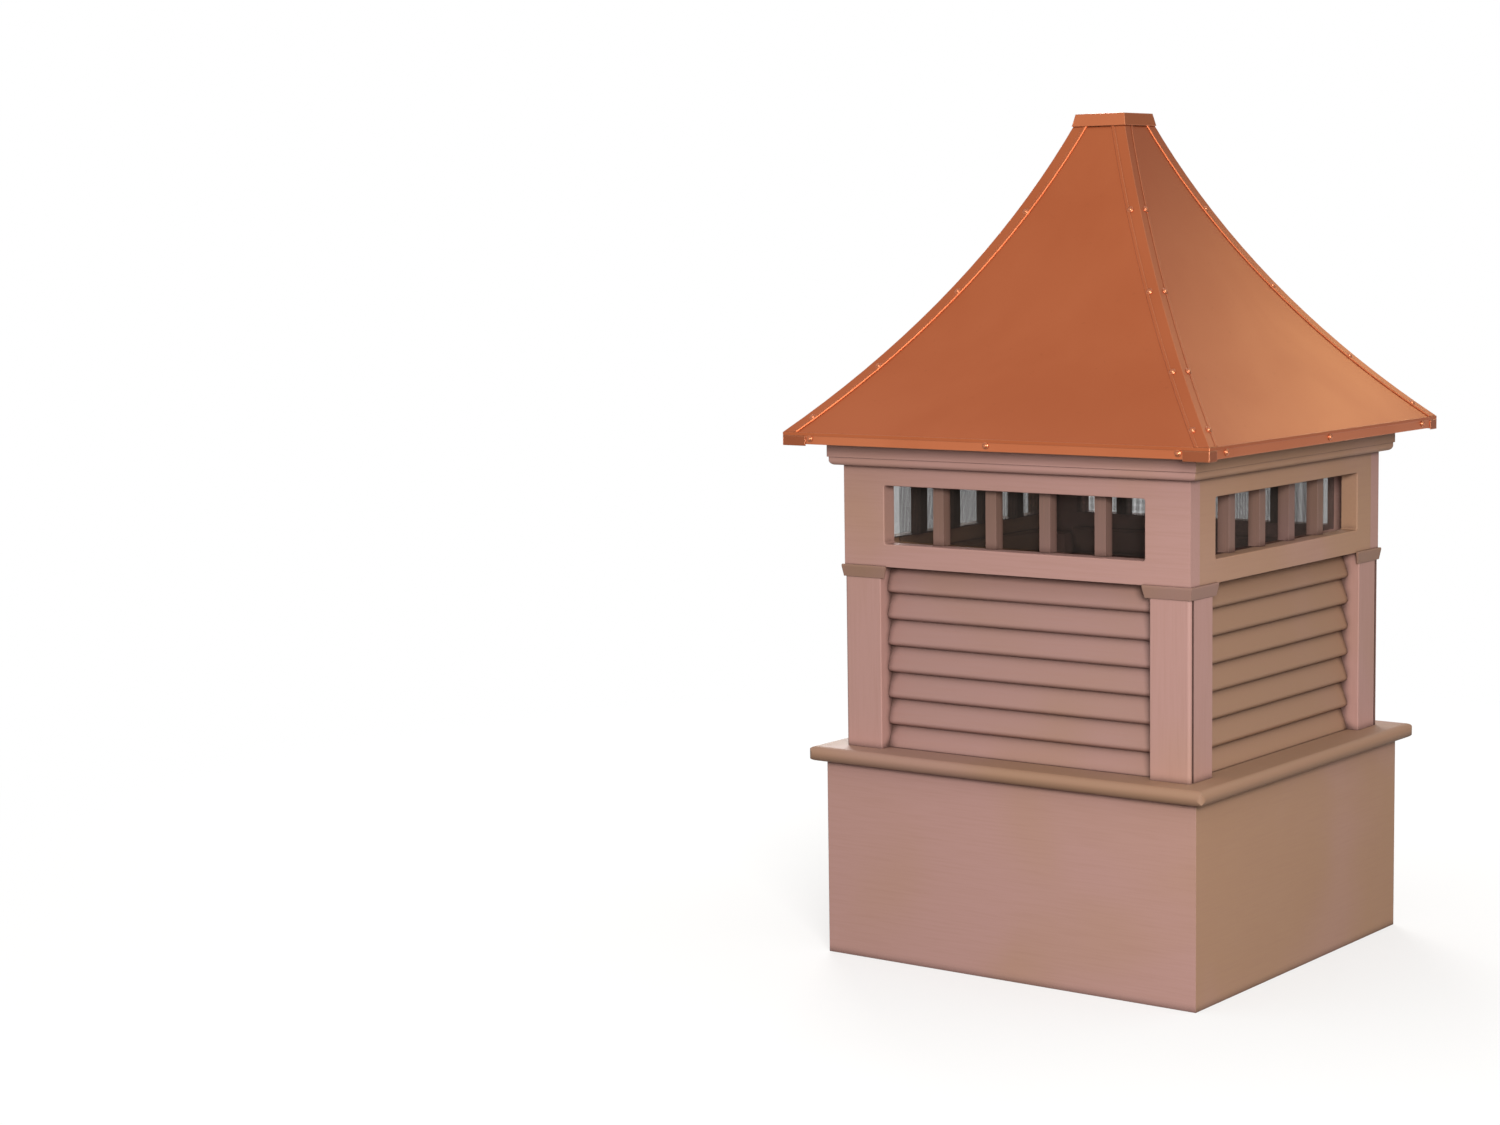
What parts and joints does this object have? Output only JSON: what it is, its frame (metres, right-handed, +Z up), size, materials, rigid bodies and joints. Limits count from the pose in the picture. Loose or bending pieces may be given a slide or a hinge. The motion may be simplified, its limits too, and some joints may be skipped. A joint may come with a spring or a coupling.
{
  "type": "roof cupola",
  "caption": "Square roof cupola: boxed base, rounded sill, louvred sides between corner posts, a row of open lights under a frieze, and a hollow-curved copper roof with a small cap.",
  "frame": {"origin": "middle of the base's underside", "axes": "+Z up to the peak, -Y towards the front face, +X towards the right face"},
  "size_m": [0.8664, 0.8664, 1.523],
  "materials": {
    "clay_boards": "satin clay-coloured trim board",
    "bare_boards": "bare sheathing boards, darkened",
    "sheet_copper": "dull new copper sheet"
  },
  "bodies": {
    "root": {"base_back": "clay_boards", "base_front": "clay_boards", "base_left": "clay_boards", "base_right": "clay_boards", "drip_corner_tabs": "sheet_copper", "drip_edges": "sheet_copper", "eave_board_back": "bare_boards", "eave_board_front": "bare_boards", "eave_board_left": "bare_boards", "eave_board_right": "bare_boards", "frieze_back": "clay_boards", "frieze_front": "clay_boards", "frieze_left": "clay_boards", "frieze_right": "clay_boards", "hip_caps": "sheet_copper", "louvres_back": "clay_boards", "louvres_front": "clay_boards", "louvres_left": "clay_boards", "louvres_right": "clay_boards", "peak_cap": "sheet_copper", "post_back_left": "clay_boards", "post_back_right": "clay_boards", "post_capitals": "clay_boards", "post_front_left": "clay_boards", "post_front_right": "clay_boards", "roof_copper_back": "sheet_copper", "roof_copper_front": "sheet_copper", "roof_copper_left": "sheet_copper", "roof_copper_right": "sheet_copper", "roof_deck_back": "bare_boards", "roof_deck_front": "bare_boards", "roof_deck_left": "bare_boards", "roof_deck_right": "bare_boards", "sill_back": "clay_boards", "sill_front": "clay_boards", "sill_left": "clay_boards", "sill_right": "clay_boards", "transom_back": "clay_boards", "transom_bars_back": "clay_boards", "transom_bars_front": "clay_boards", "transom_bars_left": "clay_boards", "transom_bars_right": "clay_boards", "transom_front": "clay_boards", "transom_left": "clay_boards", "transom_right": "clay_boards"}
  },
  "joints": []
}
